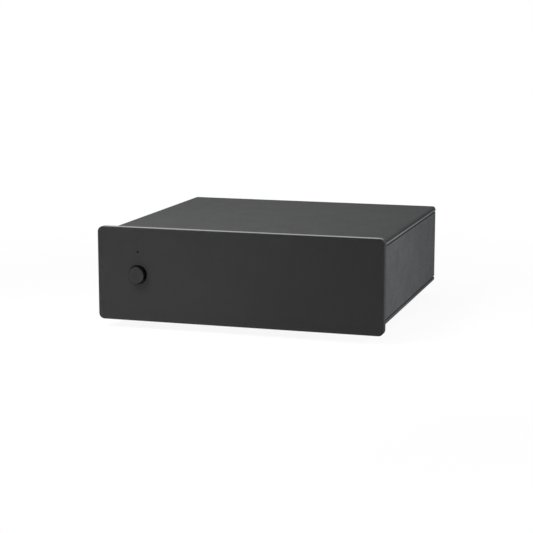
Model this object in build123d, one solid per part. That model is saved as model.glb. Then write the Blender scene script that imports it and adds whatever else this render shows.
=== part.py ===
"""Phono preamplifier: a flat aluminium box with a thick front panel and one round button.

Two identical extrusions, turned back to back, make the top and the bottom of the case. Each
carries screw ports in its corners and a half-lapped inner wall, and the side panels slide into
channels between the outer lips and those walls. The front panel is held from inside by an angle
bracket, and the rear panel sits between the covers and is screwed into the ports.

Millimetres. +Z is up, the front panel faces -Y and +X is on the right seen from the front. The
origin is on the table, under the middle of the box. Each piece is a solid of its own.
"""

import os

from build123d import *

# ---------------------------------------------------------------- driving dimensions

# Case and covers
case_width = 200.0
case_height = 59.7
case_depth = 194.0  # front face of the panel to the rear end of the case
skin = 2.5  # top and bottom plate of the extrusion
edge_radius = 2.5  # outer long edges
lip_height = 3.7  # outer lip that holds the side panel
lip_thickness = 2.1
channel_width = 2.0
wall_thickness = 2.2  # inner wall beside the channel
lap_height = 3.0  # half lap where the two inner walls meet
port_radius = 3.4  # screw port in each corner
port_from_wall = 4.6
port_sink = 0.6  # how far the port sinks into the skin
port_slot = 1.0

# Side panels
shadow_gap = 0.6  # gap between a lip and the side panel's face
side_edge = 0.3

# Front panel
panel_side = 3.0  # panel stands out this far at each side of the case
panel_lip = 3.2  # and above and below it
panel_thickness = 5.0
panel_corner = 4.0
panel_edge = 0.4
pocket_depth = 1.0  # milled seat for the covers on the panel's back

# Rear panel
rear_recess = 2.0
rear_thickness = 2.0

# Feet
foot_height = 9.2
foot_radius = 9.0
foot_taper = 1.2
foot_edge = 0.8
foot_from_side = 21.0
foot_from_panel = 40.0
foot_from_rear = 30.0
foot_well_radius = 5.2
foot_well_depth = 5.0

# Power button and its switch
button_from_side = 27.0
button_radius = 5.9
button_proud = 4.5
button_travel = 2.5
button_edge = 0.3
flange_radius = 7.8
flange_thickness = 1.2
counterbore_radius = 8.3
counterbore_depth = 1.6
boss_radius = 4.0
boss_length = 4.5
spring_length = 4.6
spring_wire = 0.5
spring_radius = 3.0
spring_turns = 3.5
switch_size = 8.5
switch_depth = 6.0
plunger_size = 3.2
plunger_grip = 3.0  # how far the plunger reaches into the button's boss
plunger_inside = 2.4  # and into the switch at rest

# Status light
light_above_button = 16.0
light_hole_radius = 0.75
light_hole_depth = 1.5
light_pipe_radius = 1.5
light_pipe_setback = 0.15
led_radius = 1.5
led_length = 5.0
led_flange = 1.9
led_flange_thickness = 1.0

# Boards
board_thickness = 1.6
board_side_gap = 9.7  # to the inner walls, clear of the screw ports
standoff_height = 6.3
standoff_width = 5.5  # across flats
standoff_from_edge = 6.0
standoff_from_front = 9.0
standoff_from_rear = 38.0
switch_board_width = 20.0
switch_board_lift = 6.0  # lower edge above the main board
switch_board_top_gap = 1.8
switch_board_hole_inset = 4.4
header_pins = 5
pin_pitch = 2.54
pin_size = 0.64
header_size = 2.5
header_behind_board = 2.4
header_rise = 7.4  # top of the pins above the main board

# Phono sockets, two to a block
output_from_side = 64.0
input_from_side = 36.0
socket_pitch = 20.0
socket_above_board = 12.4
socket_reach = 6.0  # past the rear end of the case
socket_radius = 4.15
socket_base_radius = 4.8
socket_base_proud = 0.3
socket_bore = 3.4
socket_edge = 0.4
insulator_setback = 0.5
insulator_mouth = 1.75
insulator_face = 0.8
contact_outer = 2.2
contact_inner = 1.65
socket_inside = 6.0  # length behind the rear panel's inner face
housing_width = 13.0
housing_depth = 12.0
housing_above_axis = 6.5
housing_edge = 1.2
housing_screw_depth = 8.0

# Ground terminal
ground_from_inputs = 34.0
stud_radius = 2.0
stud_past_nut = 0.6
stud_head_radius = 4.2
stud_head_thickness = 1.5
ground_washer_radius = 4.6
ground_washer_thickness = 0.8
thumb_nut_radius = 4.8
thumb_nut_height = 6.4
thumb_nut_collar_radius = 3.6
thumb_nut_collar = 1.4
knurl_count = 24
knurl_depth = 0.35

# Power inlet
inlet_from_side = 24.0
inlet_above_board = 6.5
inlet_width = 9.0
inlet_depth = 13.0
inlet_above_axis = 4.6
inlet_collar_radius = 4.6
inlet_collar_proud = 0.4
inlet_bore_radius = 3.2
inlet_bore_depth = 9.5
inlet_pin_radius = 1.0
inlet_pin_length = 8.5

# Setting switches, one block of eight for each channel, reached through the floor
dip_count = 8
dip_pitch = 2.54
dip_end = 0.9
dip_width = 9.0
dip_height = 5.5
dip_slot_width = 1.3
dip_slot_length = 3.2
dip_slot_depth = 1.3
lever_width = 1.0
lever_length = 1.6
lever_proud = 1.0
dip_x = 31.0
dip_from_front = 118.0
window_margin = 1.0
window_corner = 1.0

# Bracket behind the front panel
bracket_thickness = 1.5
bracket_foot = 14.0
bracket_bend = 1.0
bracket_below_top = 1.0
bracket_end_gap = 1.5  # to the screw ports
bracket_screw_from_side = 50.0
bracket_screw_inset = 8.0  # from floor and ceiling
bracket_floor_from_side = 40.0
bracket_floor_inset = 5.5  # screws from the foot's rear edge

# Fasteners: shank radius, head radius, head height
screw_radius = 1.45
screw_head_radius = 2.75
screw_head_height = 1.7
screw_bite = 2.8  # depth of thread in a blind hole
rear_screw_length = 9.0
floor_screw_head = 2.8
floor_screw_cone = 1.35
foot_screw_radius = 1.95
foot_screw_head_radius = 4.0
foot_screw_head_height = 2.4
foot_screw_past_floor = 1.4
side_screw_above_floor = 13.0
side_screw_from_front = 40.0
side_screw_from_rear = 45.0

# Running and assembly clearances
seat_gap = 0.1
slide_gap = 0.2
hole_gap = 0.05
button_gap = 0.8  # round the button in the panel
bracket_gap = 0.3  # round the openings in the bracket
lever_gap = 0.1

# ---------------------------------------------------------------- places that follow

half_width = case_width / 2
panel_width = case_width + 2 * panel_side
panel_height = case_height + 2 * panel_lip
front_y = -(case_depth + socket_reach - button_proud) / 2
pocket_y = front_y + panel_thickness - pocket_depth
cover_front_y = pocket_y + seat_gap
case_rear_y = front_y + case_depth
rear_face_y = case_rear_y - rear_recess
rear_inner_y = rear_face_y - rear_thickness

base_z = foot_height
top_z = base_z + case_height
middle_z = (base_z + top_z) / 2
floor_z = base_z + skin
ceiling_z = top_z - skin

wall_outer = half_width - lip_thickness - channel_width
wall_inner = wall_outer - wall_thickness
port_x = wall_inner - port_from_wall
button_x = -(half_width - button_from_side)
output_x = -(half_width - output_from_side)
input_x = half_width - input_from_side
ground_x = input_x - ground_from_inputs
inlet_x = -(half_width - inlet_from_side)
port_z = skin + port_radius - port_sink  # above the outer face

board_z = floor_z + standoff_height
board_top = board_z + board_thickness
board_half_width = wall_inner - board_side_gap

flange_y = pocket_y - counterbore_depth + seat_gap
boss_y = flange_y + flange_thickness
boss_end_y = boss_y + boss_length
switch_y = boss_end_y + spring_length
switch_board_y = switch_y + switch_depth
switch_board_rear = switch_board_y + board_thickness
board_front_y = switch_board_rear + board_thickness
board_rear_y = rear_inner_y - board_thickness
light_z = middle_z + light_above_button
bracket_y = pocket_y
bracket_rear = bracket_y + bracket_thickness
bracket_floor_y = bracket_y + bracket_foot - bracket_floor_inset
switch_board_z = board_top + switch_board_lift
switch_board_top = ceiling_z - switch_board_top_gap
bracket_floor_x = half_width - bracket_floor_from_side
bracket_floor_places = (-bracket_floor_x, 0.0, bracket_floor_x)
socket_z = board_top + socket_above_board
inlet_z = board_top + inlet_above_board
socket_tip_y = case_rear_y + socket_reach
socket_places = [
    x + side * socket_pitch / 2 for x in (output_x, input_x) for side in (-1, 1)
]
dip_y = front_y + dip_from_front
dip_length = dip_count * dip_pitch + 2 * dip_end
dip_face_z = board_z - dip_height
side_screw_z = floor_z + side_screw_above_floor
foot_places = [
    (side * (half_width - foot_from_side), y)
    for side in (-1, 1)
    for y in (
        front_y + panel_thickness + foot_from_panel,
        case_rear_y - foot_from_rear,
    )
]
standoff_places = [
    (side * (board_half_width - standoff_from_edge), y)
    for side in (-1, 1)
    for y in (board_front_y + standoff_from_front, board_rear_y - standoff_from_rear)
]
side_screw_places = [
    cover_front_y + side_screw_from_front,
    case_rear_y - side_screw_from_rear,
]
bracket_screw_places = [
    (side * (half_width - bracket_screw_from_side), z)
    for side in (-1, 1)
    for z in (floor_z + bracket_screw_inset, ceiling_z - bracket_screw_inset)
]
switch_board_holes = [
    (
        button_x + side * (switch_board_width / 2 - switch_board_hole_inset),
        switch_board_top - switch_board_hole_inset,
    )
    for side in (-1, 1)
]

# ---------------------------------------------------------------- small helpers


def block(x, y, z):
    """A box from three (low, high) pairs."""
    size = Box(x[1] - x[0], y[1] - y[0], z[1] - z[0])
    return Pos((x[0] + x[1]) / 2, (y[0] + y[1]) / 2, (z[0] + z[1]) / 2) * size


def rect(x, z):
    """A rectangle in the section plane, from two (low, high) pairs."""
    return Pos((x[0] + x[1]) / 2, (z[0] + z[1]) / 2) * Rectangle(x[1] - x[0], z[1] - z[0])


def along_y(section, y0, y1):
    """A section drawn in X and Z, carried from y0 to y1."""
    return extrude(Plane.XZ.offset(-y0) * section, amount=y0 - y1)


def upright(x, y, z0, z1, radius):
    """A round bar along Z."""
    return Pos(x, y, (z0 + z1) / 2) * Cylinder(radius, z1 - z0)


def level(x, z, y0, y1, radius):
    """A round bar along Y."""
    return Pos(x, (y0 + y1) / 2, z) * Rot(90, 0, 0) * Cylinder(radius, abs(y1 - y0))


def turned(points, x, z):
    """A turned piece about an axis along Y, from (radius, y) points in the row frame."""
    profile = make_face(Polyline(*points, close=True))
    return Pos(x, 0, z) * revolve(profile, Axis.Y)


def pan_screw(length):
    """Pan head screw along +Z: shank from 0 to -length, head above."""
    head = Pos(0, 0, screw_head_height / 2) * Cylinder(screw_head_radius, screw_head_height)
    return head + Pos(0, 0, -length / 2) * Cylinder(screw_radius, length)


def write(name, *solids):
    """Writes one node, made of one or more separate solids, to parts/."""
    pieces = [s for piece in solids for s in piece.solids()]
    shape = pieces[0] if len(pieces) == 1 else Compound(children=pieces)
    shape.label = name
    export_step(shape, f"parts/{name}.step")


# ---------------------------------------------------------------- case


def cover_section():
    """Section of the extrusion, outer face down at height 0."""
    section = rect((-half_width, half_width), (0, lip_height))
    section = fillet(section.vertices().group_by(Axis.Y)[0], edge_radius)
    trough = half_width - lip_thickness
    section -= rect((-trough, trough), (skin, lip_height))
    lap_low = case_height / 2 - lap_height / 2
    lap_high = case_height / 2 + lap_height / 2 - seat_gap
    wall_middle = (wall_inner + wall_outer) / 2
    for side in (-1, 1):
        outer, inner = side * wall_outer, side * wall_inner
        section += rect(sorted((outer, inner)), (skin / 2, lap_low))
        tongue = (
            (wall_middle + seat_gap, wall_outer)
            if side < 0
            else (wall_inner, wall_middle - seat_gap)
        )
        section += rect(sorted(side * x for x in tongue), (lap_low - skin / 2, lap_high))
        x = side * port_x
        section += Pos(x, port_z) * Circle(port_radius)
        section += rect((x - port_radius / 2, x + port_radius / 2), (skin / 2, port_z))
        section -= Pos(x, port_z) * Circle(screw_radius + hole_gap)
        section -= rect((x - port_slot / 2, x + port_slot / 2), (port_z, port_z + port_radius))
    return section


def cover():
    """One extrusion in the place of the bottom cover, its inner parts milled back at the rear."""
    shell = along_y(Pos(0, base_z) * cover_section(), cover_front_y, case_rear_y)
    seat = block(
        (-wall_outer, wall_outer),
        (rear_inner_y - seat_gap, case_rear_y),
        (floor_z, top_z),
    )
    return shell - seat


def dip_places():
    """Middle of each block of setting switches."""
    return [(-dip_x, dip_y), (dip_x, dip_y)]


def bottom_cover():
    shell = cover()
    for x, y in dip_places():
        window = RectangleRounded(
            dip_length + 2 * window_margin, dip_width + 2 * window_margin, window_corner
        )
        shell -= Pos(x, y, base_z) * extrude(window, amount=skin)
    for x, y in foot_places:
        shell -= upright(x, y, base_z, floor_z, foot_screw_radius + hole_gap)
    for x in bracket_floor_places:
        shell -= Pos(x, bracket_floor_y, base_z) * floor_screw(hole_gap)
    for side in (-1, 1):
        for y in side_screw_places:
            hole = Cylinder(screw_radius + hole_gap, 2 * wall_thickness)
            x = side * (wall_inner + wall_outer) / 2
            shell -= Pos(x, y, side_screw_z) * Rot(0, 90, 0) * hole
    return shell


def top_cover():
    """The same extrusion turned half round about the length of the case."""
    return Pos(0, 0, 2 * middle_z) * Rot(0, 180, 0) * cover()


def side_panel(side):
    """Flat plate with a tongue along its top and bottom edge, held by screws from inside."""
    inner = wall_outer + slide_gap
    tongue_outer = half_width - lip_thickness - slide_gap
    face_low = base_z + lip_height + shadow_gap
    face_high = top_z - lip_height - shadow_gap
    plate = rect((tongue_outer, half_width), (face_low, face_high))
    plate = chamfer(plate.vertices().group_by(Axis.X)[-1], side_edge)
    plate += rect((inner, tongue_outer), (floor_z + slide_gap, ceiling_z - slide_gap))
    panel = along_y(plate, cover_front_y, case_rear_y)
    outer_rear = panel.edges().filter_by(Axis.Z).group_by(Axis.X)[-1].sort_by(Axis.Y)[-1]
    panel = chamfer(outer_rear, side_edge)
    for y in side_screw_places:
        hole = Cylinder(screw_radius + hole_gap, screw_bite + slide_gap)
        x = inner + (screw_bite + slide_gap) / 2
        panel -= Pos(x, y, side_screw_z) * Rot(0, 90, 0) * hole
    return panel if side > 0 else mirror(panel, about=Plane.YZ)


def side_panel_screws():
    shank = wall_thickness + slide_gap + screw_bite
    placed = []
    for side in (-1, 1):
        for y in side_screw_places:
            place = Pos(side * wall_inner, y, side_screw_z) * Rot(0, -90 * side, 0)
            placed.append(place * pan_screw(shank))
    return placed


# ---------------------------------------------------------------- front


def front_panel():
    outline = RectangleRounded(panel_width, panel_height, panel_corner)
    panel = along_y(Pos(0, middle_z) * outline, front_y, front_y + panel_thickness)
    panel = chamfer(panel.edges().group_by(Axis.Y)[0], panel_edge)
    seat = RectangleRounded(
        case_width + 2 * seat_gap, case_height + 2 * seat_gap, edge_radius + seat_gap
    )
    panel -= along_y(Pos(0, middle_z) * seat, pocket_y, front_y + panel_thickness)
    panel -= level(button_x, middle_z, front_y, pocket_y, button_radius + button_gap)
    panel -= level(
        button_x, middle_z, pocket_y - counterbore_depth, pocket_y, counterbore_radius
    )
    light_step_y = front_y + light_hole_depth
    panel -= level(button_x, light_z, front_y, light_step_y, light_hole_radius)
    panel -= level(button_x, light_z, light_step_y, pocket_y, light_pipe_radius + hole_gap)
    for x, z in bracket_screw_places:
        panel -= level(x, z, pocket_y - screw_bite, pocket_y, screw_radius + hole_gap)
    return panel


def front_bracket():
    """Steel angle: the upright is screwed to the panel, the foot to the floor."""
    reach = port_x - port_radius - bracket_end_gap
    foot_end = bracket_y + bracket_foot
    height = ceiling_z - bracket_below_top
    profile = make_face(
        Polyline(
            (bracket_y, floor_z),
            (foot_end, floor_z),
            (foot_end, floor_z + bracket_thickness),
            (bracket_rear, floor_z + bracket_thickness),
            (bracket_rear, height),
            (bracket_y, height),
            close=True,
        )
    )
    angle = extrude(Plane.YZ.offset(-reach) * profile, amount=2 * reach)
    bends = angle.edges().filter_by(Axis.X)
    outer = bends.sort_by_distance((0, bracket_y, floor_z))[0]
    angle = fillet(outer, bracket_bend + bracket_thickness)
    corner = (0, bracket_rear, floor_z + bracket_thickness)
    inner = angle.edges().filter_by(Axis.X).sort_by_distance(corner)[0]
    angle = fillet(inner, bracket_bend)
    opening = counterbore_radius + bracket_gap
    angle -= level(button_x, middle_z, bracket_y, bracket_rear, opening)
    angle -= level(button_x, light_z, bracket_y, bracket_rear, light_pipe_radius + bracket_gap)
    for x, z in bracket_screw_places:
        angle -= level(x, z, bracket_y, bracket_rear, screw_radius + slide_gap)
    for x in bracket_floor_places:
        angle -= upright(
            x, bracket_floor_y, floor_z, floor_z + bracket_thickness, screw_radius + hole_gap
        )
    return angle


def front_panel_screws():
    shank = bracket_thickness + screw_bite - slide_gap
    return [
        Pos(x, bracket_rear, z) * Rot(-90, 0, 0) * pan_screw(shank)
        for x, z in bracket_screw_places
    ]


def floor_screw(gap=0.0):
    """Countersunk screw from underneath, its head flush with height 0, pointing up."""
    head = Pos(0, 0, floor_screw_cone / 2) * Cone(
        floor_screw_head + gap, screw_radius + gap, floor_screw_cone
    )
    length = skin + bracket_thickness
    return head + Pos(0, 0, length / 2) * Cylinder(screw_radius + gap, length)


def bracket_screws():
    return [
        Pos(x, bracket_floor_y, base_z) * floor_screw()
        for x in bracket_floor_places
    ]


# ---------------------------------------------------------------- button, switch and light


def power_button():
    """Turned button, caught behind the panel by its flange, bored square for the plunger."""
    face = front_y - button_proud
    points = [
        (0, face),
        (button_radius - button_edge, face),
        (button_radius, face + button_edge),
        (button_radius, flange_y),
        (flange_radius, flange_y),
        (flange_radius, boss_y),
        (boss_radius, boss_y),
        (boss_radius, boss_end_y),
        (0, boss_end_y),
    ]
    button = turned(points, button_x, middle_z)
    bore = plunger_size / 2 + hole_gap
    return button - block(
        (button_x - bore, button_x + bore),
        (boss_end_y - plunger_grip - hole_gap, boss_end_y),
        (middle_z - bore, middle_z + bore),
    )


def switch_plunger():
    half = plunger_size / 2
    return block(
        (button_x - half, button_x + half),
        (boss_end_y - plunger_grip, switch_y + plunger_inside),
        (middle_z - half, middle_z + half),
    )


def power_switch():
    half = switch_size / 2
    body = block(
        (button_x - half, button_x + half),
        (switch_y, switch_board_y),
        (middle_z - half, middle_z + half),
    )
    body = chamfer(body.edges().filter_by(Axis.Y), side_edge)
    hole = plunger_size / 2 + lever_gap
    depth = plunger_inside + button_travel + slide_gap
    return body - block(
        (button_x - hole, button_x + hole),
        (switch_y, switch_y + depth),
        (middle_z - hole, middle_z + hole),
    )


def button_spring():
    """Return spring between the button's boss and the switch."""
    free = spring_length - spring_wire - 2 * seat_gap
    coil = Helix(free / spring_turns, free, spring_radius)
    start = Plane(coil @ 0, z_dir=coil % 0)
    wire = sweep(start * RegularPolygon(spring_wire / 2, 4), path=coil)
    first_y = boss_end_y + seat_gap + spring_wire / 2
    return Pos(button_x, first_y, middle_z) * Rot(-90, 0, 0) * wire


def light_pipe():
    """Stepped clear rod from the light to the pinhole in the panel."""
    step_y = front_y + light_hole_depth + seat_gap
    end_y = switch_board_y - led_length - seat_gap
    tip = light_hole_radius - hole_gap
    points = [
        (0, front_y + light_pipe_setback),
        (tip, front_y + light_pipe_setback),
        (tip, step_y),
        (light_pipe_radius, step_y),
        (light_pipe_radius, end_y),
        (0, end_y),
    ]
    return turned(points, button_x, light_z)


def power_led():
    """Round indicator lamp with its flange on the switch board."""
    tip_y = switch_board_y - led_length
    base_y = switch_board_y - led_flange_thickness
    body = level(button_x, light_z, tip_y, base_y, led_radius)
    body = chamfer(body.edges().group_by(Axis.Y)[0], led_radius * 0.5)
    return body + level(button_x, light_z, base_y, switch_board_y, led_flange)


def switch_board():
    half = switch_board_width / 2
    board = block(
        (button_x - half, button_x + half),
        (switch_board_y, switch_board_rear),
        (switch_board_z, switch_board_top),
    )
    for x, z in switch_board_holes:
        board -= level(x, z, switch_board_y, switch_board_rear, screw_radius + slide_gap)
    return board


def switch_board_spacers():
    """Hexagon spacers that hang the switch board on the bracket by its upper corners."""
    hexagon = RegularPolygon(standoff_width / 2, 6, major_radius=False)
    hexagon -= Circle(screw_radius + hole_gap)
    return [
        along_y(Pos(x, z) * hexagon, bracket_rear, switch_board_y)
        for x, z in switch_board_holes
    ]


def board_header():
    """Right-angled pin strip that joins the switch board to the main board."""
    strip_y = switch_board_rear + header_behind_board
    first = button_x - (header_pins - 1) * pin_pitch / 2
    half = header_pins * pin_pitch / 2
    strip = block(
        (button_x - half, button_x + half),
        (strip_y, strip_y + header_size),
        (board_top, board_top + header_size),
    )
    pin_y = strip_y + header_size / 2
    rise = board_top + header_rise
    pins = []
    for n in range(header_pins):
        x = first + n * pin_pitch
        across = (x - pin_size / 2, x + pin_size / 2)
        post = block(
            across, (pin_y - pin_size / 2, pin_y + pin_size / 2), (board_top, rise)
        )
        arm = block(
            across, (switch_board_rear, pin_y + pin_size / 2), (rise - pin_size, rise)
        )
        pins.append(post + arm)
        strip -= post
    return [strip, *pins]


# ---------------------------------------------------------------- rear


def rear_panel():
    panel = block(
        (-(wall_outer - slide_gap), wall_outer - slide_gap),
        (rear_inner_y, rear_face_y),
        (floor_z + seat_gap, ceiling_z - seat_gap),
    )
    for x in socket_places:
        panel -= level(x, socket_z, rear_inner_y, rear_face_y, socket_base_radius + slide_gap)
    for x in (output_x, input_x):
        panel -= level(x, socket_z, rear_inner_y, rear_face_y, screw_radius + slide_gap)
    panel -= level(ground_x, socket_z, rear_inner_y, rear_face_y, stud_radius + hole_gap)
    collar = inlet_collar_radius + slide_gap
    panel -= level(inlet_x, inlet_z, rear_inner_y, rear_face_y, collar)
    for x, z in rear_screw_places():
        panel -= level(x, z, rear_inner_y, rear_face_y, screw_radius + slide_gap)
    return panel


def rear_screw_places():
    """Axes of the four screw ports."""
    return [(x, z) for x in (-port_x, port_x) for z in (base_z + port_z, top_z - port_z)]


def rear_panel_screws():
    return [
        Pos(x, rear_face_y, z) * Rot(-90, 0, 0) * pan_screw(rear_screw_length)
        for x, z in rear_screw_places()
    ]


def socket_shell(x):
    """Plated outer sleeve of one phono socket, stepped where it leaves the panel."""
    back = rear_inner_y - socket_inside
    step_y = rear_face_y + socket_base_proud
    points = [
        (socket_bore, back),
        (socket_base_radius, back),
        (socket_base_radius, step_y),
        (socket_radius, step_y),
        (socket_radius, socket_tip_y - socket_edge),
        (socket_radius - socket_edge, socket_tip_y),
        (socket_bore, socket_tip_y),
    ]
    return turned(points, x, socket_z)


def socket_insulator(x):
    """Insulating plug inside the sleeve, with the hole for the centre pin."""
    back = rear_inner_y - socket_inside
    face = socket_tip_y - insulator_setback
    outer = socket_bore - hole_gap / 2
    bore = contact_outer + hole_gap / 2
    points = [
        (bore, back),
        (outer, back),
        (outer, face),
        (insulator_mouth, face),
        (insulator_mouth, face - insulator_face),
        (bore, face - insulator_face),
    ]
    return turned(points, x, socket_z)


def socket_contact(x):
    """Centre contact tube behind the insulator's mouth."""
    back = rear_inner_y - socket_inside
    front = socket_tip_y - insulator_setback - insulator_face - seat_gap
    points = [
        (contact_inner, back),
        (contact_outer, back),
        (contact_outer, front),
        (contact_inner, front),
    ]
    return turned(points, x, socket_z)


def socket_housing(x):
    """Moulded block that stands on the board, carries two sockets and is screwed to the panel."""
    rear = rear_inner_y - seat_gap
    half = (socket_pitch + housing_width) / 2
    body = block(
        (x - half, x + half),
        (rear - housing_depth, rear),
        (board_top, socket_z + housing_above_axis),
    )
    body = chamfer(body.edges().filter_by(Axis.Y).group_by(Axis.Z)[-1], housing_edge)
    well = rear_inner_y - socket_inside - hole_gap
    for side in (-1, 1):
        place = x + side * socket_pitch / 2
        body -= level(place, socket_z, well, rear, socket_base_radius + hole_gap)
    return body - level(x, socket_z, rear - housing_screw_depth, rear, screw_radius + hole_gap)


def socket_screws():
    """One screw through the panel into each block, between its two sockets."""
    length = rear_thickness + housing_screw_depth - slide_gap
    return [
        Pos(x, rear_face_y, socket_z) * Rot(-90, 0, 0) * pan_screw(length)
        for x in (output_x, input_x)
    ]


def ground_end_y():
    """Outer end of the ground stud."""
    return rear_face_y + ground_washer_thickness + thumb_nut_height + stud_past_nut


def ground_stud():
    head_y = rear_inner_y - stud_head_thickness
    end = ground_end_y()
    points = [
        (0, head_y),
        (stud_head_radius, head_y),
        (stud_head_radius, rear_inner_y),
        (stud_radius, rear_inner_y),
        (stud_radius, end - socket_edge),
        (stud_radius - socket_edge, end),
        (0, end),
    ]
    return turned(points, ground_x, socket_z)


def ground_washer():
    """Captive washer under the thumb nut."""
    ring = Circle(ground_washer_radius) - Circle(stud_radius + hole_gap)
    end = rear_face_y + ground_washer_thickness
    return along_y(Pos(ground_x, socket_z) * ring, rear_face_y, end)


def ground_nut():
    """Knurled thumb nut with a plain collar towards the panel."""
    near = rear_face_y + ground_washer_thickness
    knurl_y = near + thumb_nut_collar
    far = near + thumb_nut_height
    bore = stud_radius + hole_gap
    body = Circle(thumb_nut_radius) - Circle(bore)
    for n in range(knurl_count):
        groove = Rot(0, 0, 45) * Rectangle(knurl_depth * 2, knurl_depth * 2)
        turn = 360 / knurl_count * n
        body -= Rot(0, 0, turn) * Pos(thumb_nut_radius + knurl_depth * 0.4, 0) * groove
    grip = along_y(body, knurl_y, far)
    rim = turned(
        [
            (thumb_nut_radius - 2 * knurl_depth, far),
            (thumb_nut_radius + knurl_depth, far),
            (thumb_nut_radius + knurl_depth, far - 3 * knurl_depth),
        ],
        0,
        0,
    )
    collar = along_y(Circle(thumb_nut_collar_radius) - Circle(bore), near, knurl_y)
    return Pos(ground_x, 0, socket_z) * (grip - rim + collar)


def dc_socket():
    """Moulded power inlet on the board, its collar showing in the rear panel."""
    rear = rear_inner_y - seat_gap
    body = block(
        (inlet_x - inlet_width / 2, inlet_x + inlet_width / 2),
        (rear - inlet_depth, rear),
        (board_top, inlet_z + inlet_above_axis),
    )
    collar_end = rear_face_y + inlet_collar_proud
    collar = level(inlet_x, inlet_z, rear, collar_end, inlet_collar_radius)
    bore_y = collar_end - inlet_bore_depth
    return body + collar - level(inlet_x, inlet_z, bore_y, collar_end, inlet_bore_radius)


def dc_socket_pin():
    base = rear_face_y + inlet_collar_proud - inlet_bore_depth
    tip = base + inlet_pin_length
    points = [
        (0, base),
        (inlet_pin_radius, base),
        (inlet_pin_radius, tip - inlet_pin_radius / 2),
        (inlet_pin_radius / 2, tip),
        (0, tip),
    ]
    return turned(points, inlet_x, inlet_z)


# ---------------------------------------------------------------- setting switches


def lever_places(x):
    """Middles of the levers of a block at x, the first on the left seen from below."""
    first = x + (dip_count - 1) * dip_pitch / 2
    return [first - n * dip_pitch for n in range(dip_count)]


def dip_body(x):
    """Body of one block of setting switches, open face down."""
    body = block(
        (x - dip_length / 2, x + dip_length / 2),
        (dip_y - dip_width / 2, dip_y + dip_width / 2),
        (dip_face_z, board_z),
    )
    for place in lever_places(x):
        body -= block(
            (place - dip_slot_width / 2, place + dip_slot_width / 2),
            (dip_y - dip_slot_length / 2, dip_y + dip_slot_length / 2),
            (dip_face_z, dip_face_z + dip_slot_depth),
        )
    return body


def dip_lever(place):
    """One lever at its off end, the end nearer the front."""
    start = dip_y - dip_slot_length / 2 + lever_gap
    return block(
        (place - lever_width / 2, place + lever_width / 2),
        (start, start + lever_length),
        (dip_face_z - lever_proud, dip_face_z + dip_slot_depth - lever_gap),
    )


# ---------------------------------------------------------------- main board and its parts

channel_from_edge = (68.0, 128.0)  # middle lines of the audio channels, from the same edge
supply_from_edge = 22.0  # middle line of the power supply, from the board's edge
row_first = 34.0  # first row of parts behind the front of the board
electrolytic_radius = 8.0
electrolytic_height = 25.0
small_cap_radius = 5.0
small_cap_height = 12.5
small_cap_from_rear = 49.0
can_edge = 0.6
film_size = (7.0, 18.0, 13.0)
film_pitch = 11.0
relay_size = (10.0, 20.0, 11.0)
relay_from_rear = 65.0
regulator_size = (10.2, 4.4, 15.0)
regulator_lift = 3.0
sink_size = (20.0, 12.0, 25.0)
sink_gap = 2.0
sink_fin = 1.2
sink_fins = 7
transistor_radius = 2.4
transistor_height = 4.6
transistor_lift = 2.0
transistor_flat = 1.3

supply_x = supply_from_edge - board_half_width
channel_x = [place - board_half_width for place in channel_from_edge]


def main_board():
    board = block(
        (-board_half_width, board_half_width),
        (board_front_y, board_rear_y),
        (board_z, board_top),
    )
    for x, y in standoff_places:
        board -= upright(x, y, board_z, board_top, screw_radius + slide_gap)
    return board


def board_standoffs():
    hexagon = RegularPolygon(standoff_width / 2, 6, major_radius=False)
    hexagon -= Circle(screw_radius + hole_gap)
    return [
        Pos(x, y, floor_z) * extrude(hexagon, amount=standoff_height)
        for x, y in standoff_places
    ]


def board_screws():
    """Screws of the main board, from above, and of the switch board, from behind."""
    length = board_thickness + standoff_height / 2
    down = [Pos(x, y, board_top) * pan_screw(length) for x, y in standoff_places]
    forward = [
        Pos(x, switch_board_rear, z) * Rot(-90, 0, 0) * pan_screw(length)
        for x, z in switch_board_holes
    ]
    return down + forward


def can(x, y, radius, height):
    """Electrolytic capacitor, its sleeve rounded off at the top."""
    body = upright(x, y, board_top, board_top + height, radius)
    return chamfer(body.edges().group_by(Axis.Z)[-1], can_edge)


def electrolytic_capacitors():
    cans = []
    for row in range(2):
        y = board_front_y + row_first + row * 2.4 * electrolytic_radius
        for side in (-1, 1):
            x = supply_x + side * 1.1 * electrolytic_radius
            cans.append(can(x, y, electrolytic_radius, electrolytic_height))
    for x in channel_x:
        for side in (-1, 1):
            y = board_rear_y - small_cap_from_rear
            place = x + side * 2.2 * small_cap_radius
            cans.append(can(place, y, small_cap_radius, small_cap_height))
    return cans


def film_capacitors():
    """Box capacitors of the equalisation network, four for each channel."""
    wide, deep, high = film_size
    boxes = []
    for x in channel_x:
        for n in range(4):
            middle = x + (n - 1.5) * film_pitch
            y = board_front_y + row_first
            box = block(
                (middle - wide / 2, middle + wide / 2),
                (y - deep / 2, y + deep / 2),
                (board_top, board_top + high),
            )
            boxes.append(chamfer(box.edges().group_by(Axis.Z)[-1], side_edge * 2))
    return boxes


def relays():
    """Muting relays in front of the output sockets and the input sockets."""
    wide, deep, high = relay_size
    boxes = []
    for x in channel_x:
        for side in (-1, 1):
            middle = x + side * wide
            y = board_rear_y - relay_from_rear
            box = block(
                (middle - wide / 2, middle + wide / 2),
                (y - deep / 2, y + deep / 2),
                (board_top, board_top + high),
            )
            boxes.append(chamfer(box.edges().group_by(Axis.Z)[-1], side_edge))
    return boxes


def sink_row_y():
    """Back face of the regulators, where their heat sinks begin."""
    return board_front_y + row_first + 7.0 * electrolytic_radius


def sink_places():
    step = (sink_size[0] + sink_gap) / 2
    return [supply_x - step, supply_x + step]


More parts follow.
